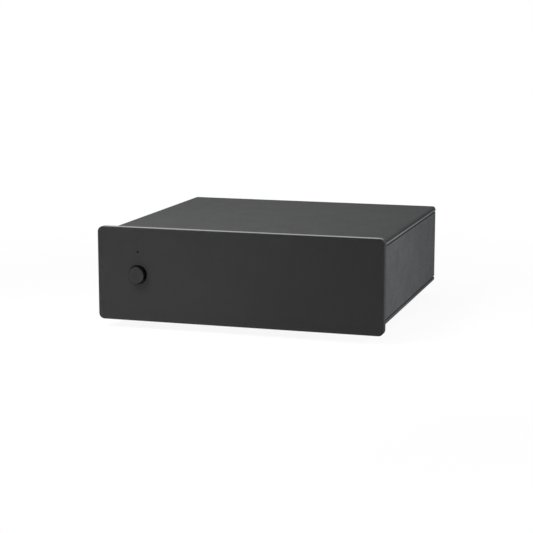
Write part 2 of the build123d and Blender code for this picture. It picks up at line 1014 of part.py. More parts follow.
def heat_sinks():
    """Finned sink behind each regulator."""
    wide, deep, high = sink_size
    sinks = []
    for x in sink_places():
        y = sink_row_y()
        web = (y, y + 2 * sink_fin)
        sink = block((x - wide / 2, x + wide / 2), web, (board_top, board_top + high))
        for n in range(sink_fins):
            fin_x = x - wide / 2 + n * (wide - sink_fin) / (sink_fins - 1)
            sink += block(
                (fin_x, fin_x + sink_fin), (y, y + deep), (board_top, board_top + high)
            )
        sinks.append(sink)
    return sinks


def regulators():
    """Voltage regulators, flat against their sinks, each on three legs."""
    wide, deep, high = regulator_size
    bodies = []
    for x in sink_places():
        y = sink_row_y()
        foot = board_top + regulator_lift
        body = block((x - wide / 2, x + wide / 2), (y - deep, y), (foot, foot + high * 0.6))
        body += block(
            (x - wide / 2, x + wide / 2), (y - deep / 3, y), (foot, foot + high)
        )
        body -= level(x, foot + high * 0.82, y - deep, y, screw_radius)
        for n in (-1, 0, 1):
            leg_x = x + n * pin_pitch
            body += block(
                (leg_x - pin_size / 2, leg_x + pin_size / 2),
                (y - deep / 2 - pin_size / 2, y - deep / 2 + pin_size / 2),
                (board_top, foot),
            )
        bodies.append(body)
    return bodies


def transistors():
    """Small-signal transistors, a row of four for each channel, flat side to the front."""
    outline = Circle(transistor_radius)
    outline -= rect(
        (-transistor_radius, transistor_radius), (-transistor_radius, -transistor_flat)
    )
    body = Pos(0, 0, transistor_lift) * extrude(outline, amount=transistor_height)
    for n in (-1, 0, 1):
        leg_x = n * pin_pitch / 2
        half = pin_size / 2
        body += block((leg_x - half, leg_x + half), (-half, half), (0, transistor_lift))
    place_y = board_front_y + row_first + film_size[1]
    return [
        Pos(x + (column - 1.5) * film_pitch, place_y, board_top) * body
        for x in channel_x
        for column in range(4)
    ]


# ---------------------------------------------------------------- feet


def rubber_feet():
    """Tapered rubber feet with a well for the screw head."""
    low = foot_radius - foot_taper
    points = [
        (foot_screw_radius + hole_gap, foot_height),
        (foot_radius, foot_height),
        (low, foot_edge),
        (low - foot_edge, 0),
        (foot_well_radius, 0),
        (foot_well_radius, foot_well_depth),
        (foot_screw_radius + hole_gap, foot_well_depth),
    ]
    profile = make_face(Polyline(*[(r, 0, z) for r, z in points], close=True))
    foot = revolve(profile, Axis.Z)
    return [Pos(x, y, 0) * foot for x, y in foot_places]


def foot_screws():
    """Screws up through the feet into the floor, heads down in the wells."""
    length = floor_z + foot_screw_past_floor - foot_well_depth
    head = Pos(0, 0, -foot_screw_head_height / 2) * Cylinder(
        foot_screw_head_radius, foot_screw_head_height
    )
    screw = head + Pos(0, 0, length / 2) * Cylinder(foot_screw_radius, length)
    return [Pos(x, y, foot_well_depth) * screw for x, y in foot_places]


# ---------------------------------------------------------------- write every node


def main():
    os.makedirs("parts", exist_ok=True)
    write("front_panel", front_panel())
    write("top_cover", top_cover())
    write("bottom_cover", bottom_cover())
    write("side_panel_left", side_panel(-1))
    write("side_panel_right", side_panel(1))
    write("rear_panel", rear_panel())
    write("front_bracket", front_bracket())
    write("rubber_feet", *rubber_feet())

    write("foot_screws", *foot_screws())
    write("front_panel_screws", *front_panel_screws())
    write("bracket_screws", *bracket_screws())
    write("rear_panel_screws", *rear_panel_screws())
    write("side_panel_screws", *side_panel_screws())

    write("power_button", power_button())
    write("switch_plunger", switch_plunger())
    write("button_spring", button_spring())
    write("power_switch", power_switch())
    write("power_led", power_led())
    write("light_pipe", light_pipe())
    write("switch_board", switch_board())
    write("switch_board_spacers", *switch_board_spacers())
    write("board_header", *board_header())

    write("socket_shells", *[socket_shell(x) for x in socket_places])
    write("socket_insulators_right", *[socket_insulator(x) for x in socket_places[::2]])
    write("socket_insulators_left", *[socket_insulator(x) for x in socket_places[1::2]])
    write("socket_contacts", *[socket_contact(x) for x in socket_places])
    write("socket_housings", socket_housing(output_x), socket_housing(input_x))
    write("socket_screws", *socket_screws())
    write("ground_stud", ground_stud())
    write("ground_washer", ground_washer())
    write("ground_nut", ground_nut())
    write("dc_socket", dc_socket())
    write("dc_socket_pin", dc_socket_pin())

    for channel, x in (("left", -dip_x), ("right", dip_x)):
        write(f"dip_body_{channel}", dip_body(x))
        for number, place in enumerate(lever_places(x), start=1):
            write(f"dip_lever_{channel}_{number}", dip_lever(place))

    write("main_board", main_board())
    write("board_standoffs", *board_standoffs())
    write("board_screws", *board_screws())
    write("electrolytic_capacitors", *electrolytic_capacitors())
    write("film_capacitors", *film_capacitors())
    write("relays", *relays())
    write("heat_sinks", *heat_sinks())
    write("regulators", *regulators())
    write("transistors", *transistors())


main()
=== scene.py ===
from math import atan2, cos, hypot, pi, radians, sin

import bpy
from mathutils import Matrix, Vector


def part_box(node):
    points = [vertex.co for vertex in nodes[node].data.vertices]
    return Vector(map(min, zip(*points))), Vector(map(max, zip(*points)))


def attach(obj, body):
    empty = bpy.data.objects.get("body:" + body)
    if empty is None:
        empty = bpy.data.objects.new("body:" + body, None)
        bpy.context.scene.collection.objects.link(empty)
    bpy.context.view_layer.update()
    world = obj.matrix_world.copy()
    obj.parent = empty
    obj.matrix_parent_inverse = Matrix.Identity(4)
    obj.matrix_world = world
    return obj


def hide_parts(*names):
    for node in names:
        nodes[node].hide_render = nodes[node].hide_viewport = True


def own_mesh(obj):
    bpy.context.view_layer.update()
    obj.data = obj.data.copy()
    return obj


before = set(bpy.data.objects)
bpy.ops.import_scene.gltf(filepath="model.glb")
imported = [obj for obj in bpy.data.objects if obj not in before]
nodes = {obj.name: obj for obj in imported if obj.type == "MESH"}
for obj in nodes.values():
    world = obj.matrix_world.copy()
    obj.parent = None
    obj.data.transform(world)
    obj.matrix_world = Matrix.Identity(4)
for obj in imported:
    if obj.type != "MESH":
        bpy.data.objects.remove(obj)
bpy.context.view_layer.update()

# ---------------------------------------------------------------- covers
# Two lengths of one aluminium extrusion, turned back to back. They are bead blasted, which
# leaves an even grain with a faint cloudiness, and then anodised black. The long upper edges
# carry painted shade round the bend, darkest in a thin painted crease, and a painted
# highlight as a thin bright line near the lip's end.


class Link:
    """One output of a shader node. Arithmetic on it adds Math nodes."""

    def __init__(self, shading, socket):
        self.shading = shading
        self.socket = socket

    def maths(self, operation, first, second=0.0):
        """Adds a Math node, which leaves out the second value where it takes only one."""
        sockets = {0: first, 1: second}
        return self.shading.node("ShaderNodeMath", {"operation": operation}, sockets)

    def wave(self, pitch):
        """Runs between -1 and 1, once every pitch metres."""
        return self.maths("SINE", self * (2 * pi / pitch))

    def distance(self, value):
        """How far it is from a value, either way."""
        return self.maths("ABSOLUTE", self - value)

    def or_more(self, other):
        """The larger of the two."""
        return self.maths("MAXIMUM", self, other)

    def __add__(self, other):
        return self.maths("ADD", self, other)

    def __radd__(self, other):
        return self.maths("ADD", other, self)

    def __sub__(self, other):
        return self.maths("SUBTRACT", self, other)

    def __rsub__(self, other):
        return self.maths("SUBTRACT", other, self)

    def __mul__(self, other):
        return self.maths("MULTIPLY", self, other)

    def __rmul__(self, other):
        return self.maths("MULTIPLY", other, self)


class Shading:
    """A tree of shader nodes that is built up one node at a time."""

    def __init__(self, tree):
        self.tree = tree

    def fill(self, socket, value):
        """Gives a socket its value or its link."""
        if isinstance(value, Link):
            self.tree.links.new(value.socket, socket)
        else:
            socket.default_value = value

    def node(self, kind, settings=None, sockets=None, output=0):
        """Adds a node, sets it up, and then gives its sockets their values or links."""
        made = self.tree.nodes.new(kind)
        for name, value in (settings or {}).items():
            setattr(made, name, value)
        for name, value in (sockets or {}).items():
            self.fill(made.inputs[name], value)
        return Link(self, made.outputs[output])

    def place(self, centre=(0.0, 0.0, 0.0), scale=(1.0, 1.0, 1.0)):
        """Place on the piece in metres, from a centre."""
        place = self.node("ShaderNodeTexCoord", output="Object")
        away = [-at * size for at, size in zip(centre, scale)]
        return self.node(
            "ShaderNodeMapping", sockets={"Vector": place, "Location": away, "Scale": scale}
        )

    def length(self, place):
        """How far a place is from the centre."""
        return self.node("ShaderNodeVectorMath", {"operation": "LENGTH"}, {0: place}, "Value")

    def along(self, axis):
        """Distance along X, Y or Z of the piece."""
        return self.node("ShaderNodeSeparateXYZ", sockets={0: self.place()}, output=axis)

    def facing(self, axis):
        """How squarely the surface faces along X, Y or Z, from 0 to 1."""
        normal = self.node("ShaderNodeTexCoord", output="Normal")
        straight = self.node("ShaderNodeVectorMath", {"operation": "ABSOLUTE"}, {0: normal})
        return self.node("ShaderNodeSeparateXYZ", sockets={0: straight}, output=axis)

    def noise(self, size, detail=2.0):
        """Soft noise whose lumps are about size metres across."""
        return self.node(
            "ShaderNodeTexNoise",
            sockets={"Vector": self.place(), "Scale": 1 / size, "Detail": detail},
        )

    def spread(self, value, low, high, start=0.3, end=0.7):
        """Takes a value that runs from start to end to low and high."""
        return self.node(
            "ShaderNodeMapRange",
            sockets={
                "Value": value,
                "From Min": start,
                "From Max": end,
                "To Min": low,
                "To Max": high,
            },
        )

    def towards(self, axis, start, end):
        """From 0 to 1 as the surface turns towards X, Y or Z."""
        return self.spread(self.facing(axis), 0.0, 1.0, start, end)

    def blend(self, share, first, second):
        """One colour turning into another as share goes from 0 to 1."""
        return self.node(
            "ShaderNodeMix", {"data_type": "RGBA"}, {0: share, 6: first, 7: second}, output=2
        )

    def patches(self, noise, first, second):
        """Patches of two colours, where the noise is low and where it is high."""
        return self.blend(self.spread(noise, 0.0, 1.0), first, second)


class Finish(Shading):
    """The surface of a piece: one Principled shader and what varies over it."""

    def __init__(self, name, roughness, metallic=0.0, specular=0.5):
        self.material = bpy.data.materials.new(name)
        self.material.use_nodes = True
        super().__init__(self.material.node_tree)
        self.shader = self.tree.nodes["Principled BSDF"]
        self.set("Roughness", roughness)
        self.set("Metallic", metallic)
        self.set("Specular IOR Level", specular)

    def set(self, name, value):
        """Fills one socket of the surface shader."""
        self.fill(self.shader.inputs[name], value)

    def bump(self, height, depth):
        """Raises the surface by height times depth metres, as light sees it."""
        raised = self.node("ShaderNodeBump", sockets={"Height": height, "Distance": depth})
        self.set("Normal", raised)

    def dress(self, *names):
        """Gives this finish to nodes of the frame."""
        for name in names:
            slots = nodes[name].data.materials
            slots.clear()
            slots.append(self.material)


plain_tint = (1.0, 1.0, 1.0)
cool_tint = (0.97, 1.0, 1.035)


def grey(level, tint=plain_tint):
    """A grey, with a slight tint, as a shader colour."""
    return (level * tint[0], level * tint[1], level * tint[2], 1.0)


cloud_size, cloud_share = 0.015, 0.2
mottle_size, mottle_share = 0.0022, 0.4
grain_size, grain_share = 0.0004, 0.4
grain_depth = 0.00001
sheen_swing = 0.04


def blasted_anodised(name, level, roughness, specular, swing=0.22, tint=cool_tint):
    """Black anodising over bead blasting, as a finish and its colour."""
    finish = Finish(name, roughness, specular=specular)
    clouds = finish.spread(finish.noise(cloud_size, detail=3.0), 0.0, cloud_share)
    mottle = finish.spread(finish.noise(mottle_size, detail=3.0), 0.0, mottle_share)
    grain = finish.noise(grain_size)
    share = clouds + mottle + finish.spread(grain, 0.0, grain_share)
    darkest = grey(level * (1 - swing), tint)
    lightest = grey(level * (1 + swing), tint)
    colour = finish.blend(share, darkest, lightest)
    finish.set("Base Color", colour)
    dull, bright = roughness + sheen_swing, roughness - sheen_swing
    finish.set("Roughness", finish.spread(share, dull, bright, 0.0, 1.0))
    finish.bump(grain, grain_depth)
    return finish, colour


cover_level = 0.03
matt_roughness = 0.75
matt_specular = 0.1
cover_look = (cover_level, matt_roughness, matt_specular)
bottom_finish, _ = blasted_anodised("bottom_cover_anodised", *cover_look)
bottom_finish.dress("bottom_cover")

# Painted lines along the upper edges: shade round the bend, a darker crease, and a highlight
# near the lip's end. Each gives its drop from the top, its grey, and how far to either side
# it stays full and is gone.
bend_painted_shade = (0.0011, 0.021, 0.0004, 0.0008)
crease_painted_shade = (0.0014, 0.005, 0.00015, 0.00045)
lip_painted_highlight = (0.0029, 0.115, 0.00015, 0.00042)
cover_finish, cover_colour = blasted_anodised("top_cover_anodised", *cover_look)
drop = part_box("top_cover")[1][2] - cover_finish.along("Z")
sideways = cover_finish.towards("X", start=0.45, end=0.65)
# Paints the shade and the highlight onto the faces that turn sideways.
for line_drop, level, full, gone in (bend_painted_shade, crease_painted_shade, lip_painted_highlight):
    line = cover_finish.spread(drop.distance(line_drop), 1.0, 0.0, full, gone) * sideways
    cover_colour = cover_finish.blend(line, cover_colour, grey(level, cool_tint))
cover_finish.set("Base Color", cover_colour)
cover_finish.dress("top_cover")

# ---------------------------------------------------------------- side panels
# Flat strips of the same blasted and anodised aluminium, slid into the covers. Their long edges
# are broken by a small chamfer, and two screws from inside hold each.

side_level = 0.035
side_swing = 0.4
side_tint = (0.97, 1.0, 1.055)
chamfer_painted_shade = 0.012
side_finish, side_colour = blasted_anodised(
    "side_anodised", side_level, matt_roughness, matt_specular, side_swing, side_tint
)
# The chamfers on the long edges are painted darker, as shade in the grooves beside the covers'
# lips.
chamfer = side_finish.towards("Z", start=0.2, end=0.5)
side_finish.set("Base Color", side_finish.blend(chamfer, side_colour, grey(chamfer_painted_shade)))
side_finish.dress("side_panel_left", "side_panel_right")

# ---------------------------------------------------------------- bracket and inner fasteners
# The bracket is folded zinc-plated sheet. Its screws, the side panels' and the board's are
# plated pan heads with a hexagon recess, driven from inside the case.


def clear_selection():
    """Deselects every object."""
    bpy.ops.object.select_all(action="DESELECT")


def take(*pieces):
    """Selects these pieces and makes the first one active."""
    clear_selection()
    for piece in pieces:
        piece.select_set(True)
    bpy.context.view_layer.objects.active = pieces[0]


def settle(piece):
    """Puts a piece's place into its mesh."""
    take(piece)
    bpy.ops.object.transform_apply(location=True, rotation=True, scale=True)


def turn_on_lathe(name, rings, bored=False, steps=64):
    """A turned piece about +Z. rings gives (radius, height) all the way round its section."""
    clear_selection()
    radius, height = rings[0]
    bpy.ops.mesh.primitive_circle_add(
        vertices=steps,
        radius=radius,
        location=(0, 0, height),
        fill_type="NOTHING" if bored else "NGON",
    )
    piece = bpy.context.object
    piece.name = piece.data.name = name
    bpy.ops.object.mode_set(mode="EDIT")
    for next_radius, next_height in rings[1:] + rings[:1] * bored:
        rise = (0, 0, next_height - height)
        growth = (next_radius / radius, next_radius / radius, 1)
        bpy.ops.mesh.extrude_region_move(TRANSFORM_OT_translate={"value": rise})
        bpy.ops.transform.resize(value=growth, center_override=(0, 0, next_height))
        radius, height = next_radius, next_height
    bpy.ops.mesh.select_all(action="SELECT")
    bpy.ops.mesh.remove_doubles(threshold=1e-7)
    bpy.ops.mesh.select_all(action="SELECT")
    bpy.ops.mesh.normals_make_consistent(inside=False)
    bpy.ops.object.mode_set(mode="OBJECT")
    settle(piece)
    return piece


def smooth(piece, angle=35):
    """Shades a piece smooth, but for edges sharper than angle degrees."""
    take(piece)
    bpy.ops.object.shade_smooth_by_angle(angle=radians(angle))


def round_edges(piece, width, segments, angle=35):
    """Rounds every sharp edge of a piece and shades it smooth between them."""
    take(piece)
    rounding = piece.modifiers.new("rounding", "BEVEL")
    rounding.width = width
    rounding.segments = segments
    rounding.limit_method = "ANGLE"
    rounding.angle_limit = radians(angle)
    bpy.ops.object.modifier_apply(modifier="rounding")
    smooth(piece, angle)


def cut_away(piece, cutter):
    """Cuts the cutter's shape out of a piece."""
    cutting = piece.modifiers.new("cutting", "BOOLEAN")
    cutting.operation = "DIFFERENCE"
    cutting.object = cutter
    take(piece)
    bpy.ops.object.modifier_apply(modifier="cutting")
    bpy.data.objects.remove(cutter)


def joined(*pieces):
    """Makes one piece of several, with their places in its mesh. It keeps the first's name."""
    for piece in pieces:
        settle(piece)
    take(*pieces)
    bpy.ops.object.join()
    return pieces[0]


def set_in(piece, places, along):
    """Copies a piece to its places, with its +Z along a direction, as one piece."""
    turn = Vector(along).to_track_quat("Z", "Y").to_euler()
    copies = [piece]
    for _ in places[1:]:
        take(piece)
        bpy.ops.object.duplicate(linked=False)
        copies.append(bpy.context.object)
    for copy, place in zip(copies, places):
        copy.rotation_euler = turn
        copy.location = place
    return joined(*copies)


def fit(piece, body, slot, finish, *replaced):
    """Gives a piece its finish, its body and the nodes that it stands for."""
    piece.data.materials.clear()
    piece.data.materials.append(finish.material)
    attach(piece, body)
    if replaced:
        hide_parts(*replaced)


haze_size = 0.003
haze_darkening = 0.85
shine_swing = 0.05
plate_grain = 0.0003
plate_depth = 0.000002


def plated(name, colour, roughness):
    """Plated metal with a faint unevenness in its shine."""
    finish = Finish(name, roughness, metallic=1.0)
    haze = finish.noise(haze_size, detail=3.0)
    darker = (*(haze_darkening * part for part in colour[:3]), 1.0)
    finish.set("Base Color", finish.patches(haze, darker, colour))
    dull, bright = roughness + shine_swing, roughness - shine_swing
    finish.set("Roughness", finish.spread(haze, dull, bright))
    finish.bump(finish.noise(plate_grain), plate_depth)
    return finish


screw_steps = 40
screw_radius = 0.00145
screw_point = 0.3
head_radius = 0.00275
head_height = 0.0017
head_rings = ((1.0, 0.0), (1.0, 0.5), (0.95, 0.75), (0.82, 0.93), (0.6, 1.0))
recess_radius = 0.00115
recess_depth = 0.001


def pan_screw(name, length, radius=screw_radius, head=head_radius, height=head_height):
    """Pan head screw along +Z, its head above 0 and rounded over."""
    point = screw_point * radius
    shank = [(radius - point, -length), (radius, point - length), (radius, 0.0)]
    crown = [(head * out, height * up) for out, up in head_rings]
    screw = turn_on_lathe(name, shank + crown, steps=screw_steps)
    smooth(screw)
    return screw


def hex_recess(screw, top):
    """Cuts a hexagon recess in from the end face at the height top."""
    clear_selection()
    bpy.ops.mesh.primitive_cylinder_add(
        vertices=6, radius=recess_radius, depth=2 * recess_depth, location=(0, 0, top)
    )
    cut_away(screw, bpy.context.object)


def socket_screw(name, length):
    """Pan head screw with a hexagon recess."""
    screw = pan_screw(name, length)
    hex_recess(screw, head_height)
    return screw


def ends(node, axis, inset):
    """Two places along an axis, inset from the ends of a node's box."""
    low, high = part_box(node)
    return low[axis] + inset, high[axis] - inset


def middle(node):
    """The middle of a node's box."""
    low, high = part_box(node)
    return [(a + b) / 2 for a, b in zip(low, high)]


def corners(row, y):
    """The four places of a row of screws at the corners of a panel, at the depth y."""
    return [(x, y, z) for x in ends(row, 0, head_radius) for z in ends(row, 2, head_radius)]


zinc = plated("zinc_plate", (0.55, 0.56, 0.58, 1.0), roughness=0.35)
zinc.dress("front_bracket")

front_row = "front_panel_screws"
front_screw_length = 0.0041
places = corners(front_row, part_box(front_row)[1][1] - head_height)
front_screws = socket_screw("front_screws", front_screw_length)
front_screws = set_in(front_screws, places, along=(0, 1, 0))
fit(front_screws, "chassis", "zinc_steel", zinc, front_row)

side_row = "side_panel_screws"
side_screw_length = 0.0052
side_z = middle(side_row)[2]
pairs = []
for side, seat_x in zip((-1, 1), ends(side_row, 0, side_screw_length)):
    places = [(seat_x, y, side_z) for y in ends(side_row, 1, head_radius)]
    screw = socket_screw("side_screws", side_screw_length)
    pairs.append(set_in(screw, places, along=(-side, 0, 0)))
side_screws = joined(*pairs)
fit(side_screws, "chassis", "zinc_steel", zinc, side_row)

# ---------------------------------------------------------------- boards
# Glass epoxy laminate under a green mask, its sawn edges showing the pale glass. The main board
# stands on hexagon pillars of plated brass, and the switch board hangs from two more.

glass_pitch = 0.0008
weave_depth = 0.000004
mask_roughness = 0.35
mask_green = (0.010, 0.075, 0.035, 1.0)
mask_light = (0.017, 0.110, 0.052, 1.0)
sawn_roughness = 0.7
sawn_glass = (0.42, 0.40, 0.22, 1.0)


def laminate(name, flat, first, second):
    """Board that lies square to the axis flat, woven along the two other axes."""
    finish = Finish(name, mask_roughness)
    weave = finish.along(first).wave(glass_pitch) * finish.along(second).wave(glass_pitch)
    mask = finish.blend(finish.spread(weave, 0.0, 1.0, -1.0, 1.0), mask_green, mask_light)
    edge = finish.spread(finish.facing(flat), 1.0, 0.0, start=0.4, end=0.9)
    finish.set("Base Color", finish.blend(edge, mask, sawn_glass))
    finish.set("Roughness", finish.spread(edge, mask_roughness, sawn_roughness, 0.0, 1.0))
    finish.bump(weave, weave_depth)
    return finish


laminate("board_mask", "Z", "X", "Y").dress("main_board")
laminate("switch_board_mask", "Y", "X", "Z").dress("switch_board")
nickel = plated("nickel_plate", (0.62, 0.60, 0.54, 1.0), roughness=0.3)
nickel.dress("board_standoffs", "switch_board_spacers")

pillar_flat = 0.00275
pillar_corner = pillar_flat / cos(pi / 6)
spacer_step = 0.0056
board_screw_length = 0.0046
board_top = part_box("main_board")[1][2]
places = [
    (x, y, board_top)
    for x in ends("board_standoffs", 0, pillar_corner)
    for y in ends("board_standoffs", 1, pillar_flat)
]
down_screws = socket_screw("down_screws", board_screw_length)
down_screws = set_in(down_screws, places, along=(0, 0, 1))
switch_board_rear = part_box("switch_board")[1][1]
upper_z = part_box("board_screws")[1][2] - head_radius
button_x, _, button_z = middle("power_button")
places = [(button_x + side * spacer_step, switch_board_rear, upper_z) for side in (-1, 1)]
board_screws = socket_screw("rearward_screws", board_screw_length)
board_screws = set_in(board_screws, places, along=(0, 1, 0))
board_screws = joined(board_screws, down_screws)
fit(board_screws, "chassis", "zinc_steel", zinc, "board_screws")

# ---------------------------------------------------------------- parts on the boards
# Electrolytic capacitors in shrunk sleeves with bare aluminium tops, moulded film capacitors,
# relays, regulators on black finned sinks, small moulded transistors and the pin header.

tool_texture = 0.00025
texture_depth = 0.000004
gloss_swing = 0.06
flow_size = 0.006
flow_lift, flow_least = 1.15, 0.002


def moulded(name, colour, roughness):
    """Moulded plastic with the fine texture that its tool leaves."""
    finish = Finish(name, roughness)
    spark = finish.noise(tool_texture, detail=3.0)
    flow = finish.noise(flow_size)
    lifted = (min(1.0, part * flow_lift + flow_least) for part in colour[:3])
    lighter = (*lifted, 1.0)
    finish.set("Base Color", finish.patches(flow, colour, lighter))
    dull, bright = roughness + gloss_swing, roughness - gloss_swing
    finish.set("Roughness", finish.spread(spark, dull, bright))
    finish.bump(spark, texture_depth)
    return finish


wrap_size = 0.004
wrap_depth = 0.00002
wrap_dark, wrap_light = 0.010, 0.018
bare_metal = 0.62
sleeve = Finish("capacitor_sleeve", roughness=0.35)
wrap = sleeve.noise(wrap_size)
bare_top = sleeve.towards("Z", start=0.85, end=0.95)
wrap_colour = sleeve.patches(wrap, grey(wrap_dark), grey(wrap_light))
sleeve.set("Base Color", sleeve.blend(bare_top, wrap_colour, grey(bare_metal)))
sleeve.set("Metallic", bare_top)
sleeve.bump(wrap, wrap_depth)
sleeve.dress("electrolytic_capacitors")

film_red = moulded("film_box", (0.22, 0.014, 0.012, 1.0), roughness=0.45)
film_red.dress("film_capacitors")
relay_ivory = moulded("relay_case", (0.62, 0.59, 0.50, 1.0), roughness=0.4)
relay_ivory.dress("relays")
epoxy_black = moulded("epoxy_black", grey(0.016), roughness=0.5)
epoxy_black.dress("regulators", "transistors", "board_header")
sink_finish, _ = blasted_anodised("sink_anodised", level=0.015, roughness=0.45, specular=0.3)
sink_finish.dress("heat_sinks")

# ---------------------------------------------------------------- phono sockets
# Four gold-plated sleeves, red insulators for the right channel and white for the left. The
# contact inside is slotted so that its fingers grip the plug's pin.

gold = plated("gold_plate", (0.86, 0.58, 0.22, 1.0), roughness=0.2)
gold.dress("socket_shells")
insulator_red = moulded("insulator_red", (0.42, 0.008, 0.008, 1.0), roughness=0.3)
insulator_red.dress("socket_insulators_right")
insulator_white = moulded("insulator_white", (0.72, 0.71, 0.68, 1.0), roughness=0.3)
insulator_white.dress("socket_insulators_left")
housing_black = moulded("housing_black", grey(0.014), roughness=0.55)
housing_black.dress("socket_housings")

contact_outer = 0.0022
contact_inner = 0.00165
contact_rim = 0.0002
finger_length = 0.008
finger_slot = 0.0004
slot_span = 0.006
socket_pitch = 0.02
first_x, last_x = ends("socket_contacts", 0, contact_outer)
socket_x = (first_x, first_x + socket_pitch, last_x - socket_pitch, last_x)
contact_back, contact_tip = ends("socket_contacts", 1, 0.0)
contact_length = contact_tip - contact_back
socket_z = middle("socket_contacts")[2]
contact = turn_on_lathe(
    "contact_fingers",
    [
        (contact_inner, 0.0),
        (contact_outer, 0.0),
        (contact_outer, contact_length - contact_rim),
        (contact_outer - contact_rim, contact_length),
        (contact_inner, contact_length),
    ],
    bored=True,
    steps=screw_steps,
)


def block(width, depth, height, place):
    """A box about a place, to cut with or to shape."""
    clear_selection()
    bpy.ops.mesh.primitive_cube_add(size=1, location=place)
    box = bpy.context.object
    box.scale = (width, depth, height)
    return box


for width, depth in ((finger_slot, slot_span), (slot_span, finger_slot)):
    cut_away(contact, block(width, depth, 2 * finger_length, (0, 0, contact_length)))
smooth(contact)
contact = set_in(contact, [(x, contact_back, socket_z) for x in socket_x], along=(0, 1, 0))
fit(contact, "chassis", "gold_plate", gold, "socket_contacts")

black_oxide = plated("black_oxide", (0.05, 0.05, 0.052, 1.0), roughness=0.4)
jack_screw_length = 0.0098
rear_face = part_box("rear_panel")[1][1]
places = [(x, rear_face, socket_z) for x in ends("socket_screws", 0, head_radius)]
socket_screws = socket_screw("jack_screws", jack_screw_length)
socket_screws = set_in(socket_screws, places, along=(0, 1, 0))
fit(socket_screws, "chassis", "black_steel", black_oxide, "socket_screws")

# ---------------------------------------------------------------- ground terminal
# A threaded stud of plated brass with a captive washer and a knurled, gold-plated thumb nut,
# which clamps the earth lead of a record deck.

stud_radius = 0.002
stud_head = 0.0042
stud_head_edge = 0.0003
stud_head_height = 0.0015
thread_pitch = 0.0007
thread_depth = 0.0003
thread_valley, thread_crest = 0.45, 0.9
thread_runout = 0.0004
thread_start = rear_face + thread_runout
stud_start, stud_end = ends("ground_stud", 1, 0.0)
stud_seat = stud_start + stud_head_height
turns = int((stud_end - thread_start) / thread_pitch)
stud_rings = [
    (stud_head - stud_head_edge, stud_start),
    (stud_head, stud_start + stud_head_edge),
    (stud_head, stud_seat),
    (stud_radius, stud_seat),
    (stud_radius, thread_start),
]
for turn in range(turns):
    start = thread_start + turn * thread_pitch
    stud_rings += [
        (stud_radius - thread_depth, start + thread_pitch * thread_valley),
        (stud_radius, start + thread_pitch * thread_crest),
        (stud_radius, start + thread_pitch),
    ]
stud_rings += [(stud_radius - thread_depth, stud_end)]
stud = turn_on_lathe("threaded_stud", stud_rings, steps=screw_steps)
smooth(stud, angle=25)
stud = set_in(stud, [(middle("ground_stud")[0], 0, socket_z)], along=(0, 1, 0))
fit(stud, "chassis", "plated_brass", nickel, "ground_stud")
nickel.dress("ground_washer")

nut_radius = 0.0048
nut_height = 0.0064
nut_bore = 0.0021
nut_edge = 0.0003
nut_lift = 0.00002
collar_radius = 0.0036
collar_height = 0.0014
knurl_count = 24
knurl_depth = 0.0004
knurl_steps = 4
nut_steps = knurl_steps * knurl_count
nut = turn_on_lathe(
    "thumb_nut",
    [
        (nut_bore, nut_lift),
        (collar_radius - nut_edge, nut_lift),
        (collar_radius, nut_lift + nut_edge),
        (collar_radius, collar_height),
        (nut_radius - nut_edge, collar_height),
        (nut_radius, collar_height + nut_edge),
        (nut_radius, nut_height - nut_edge),
        (nut_radius - nut_edge, nut_height),
        (nut_bore + nut_edge, nut_height),
        (nut_bore, nut_height - nut_edge),
    ],
    bored=True,
    steps=nut_steps,
)
take(nut)
bpy.ops.object.mode_set(mode="EDIT")
bpy.ops.mesh.select_all(action="DESELECT")
bpy.ops.object.mode_set(mode="OBJECT")
for corner in nut.data.vertices:
    x, y, _ = corner.co
    step = round(atan2(y, x) / (2 * pi) * nut_steps)
    corner.select = hypot(x, y) > nut_radius - nut_edge / 2 and step % knurl_steps == 0
bpy.ops.object.mode_set(mode="EDIT")
groove = 1 - knurl_depth / nut_radius
bpy.ops.transform.resize(value=(groove, groove, 1), center_override=(0, 0, 0))
bpy.ops.object.mode_set(mode="OBJECT")
smooth(nut, angle=20)
nut_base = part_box("ground_nut")[0][1]
nut = set_in(nut, [(middle("ground_nut")[0], nut_base, socket_z)], along=(0, 1, 0))
fit(nut, "ground_nut", "gold_plate", gold, "ground_nut")

# ---------------------------------------------------------------- power inlet
# A moulded coaxial inlet on the board. Its round collar shows in the rear panel, with the
# bright pin at the bottom of the bore.

housing_black.dress("dc_socket")
bright_pin = plated("bright_pin", (0.78, 0.78, 0.80, 1.0), roughness=0.15)
bright_pin.dress("dc_socket_pin")

# ---------------------------------------------------------------- rear panel
# A 2 mm aluminium sheet, blasted more finely than the covers and anodised black. A blackened
# screw at each corner goes through it into the ports of the covers.

rear_level = 0.018
rear_roughness = 0.5
rear_specular = 0.15
rear_swing = 0.15
rear_finish, _ = blasted_anodised(
    "rear_anodised", rear_level, rear_roughness, rear_specular, rear_swing
)
rear_finish.dress("rear_panel")
rear_row = "rear_panel_screws"
rear_screw_length = 0.009
rear_screws = socket_screw("rear_screws", rear_screw_length)
rear_screws = set_in(rear_screws, corners(rear_row, rear_face), along=(0, 1, 0))
fit(rear_screws, "chassis", "black_steel", black_oxide, rear_row)

# ---------------------------------------------------------------- setting switches
# Two blue blocks of eight white levers under windows in the floor. The levers are numbered,
# and the side to which they switch on is marked.

dip_blue = moulded("dip_blue", (0.008, 0.045, 0.20, 1.0), roughness=0.35)
dip_white = moulded("dip_white", (0.72, 0.72, 0.68, 1.0), roughness=0.4)
dip_ink = moulded("dip_ink", (0.75, 0.75, 0.75, 1.0), roughness=0.6)
dip_blue.dress("dip_body_left", "dip_body_right")
lever_count = 8
lever_edge = 0.00015
ink_thickness = 0.00003
outline_steps = 3
figure_height = 0.0016
figure_share = 0.7
number_offset = 0.0031
mark_offset = 0.0030


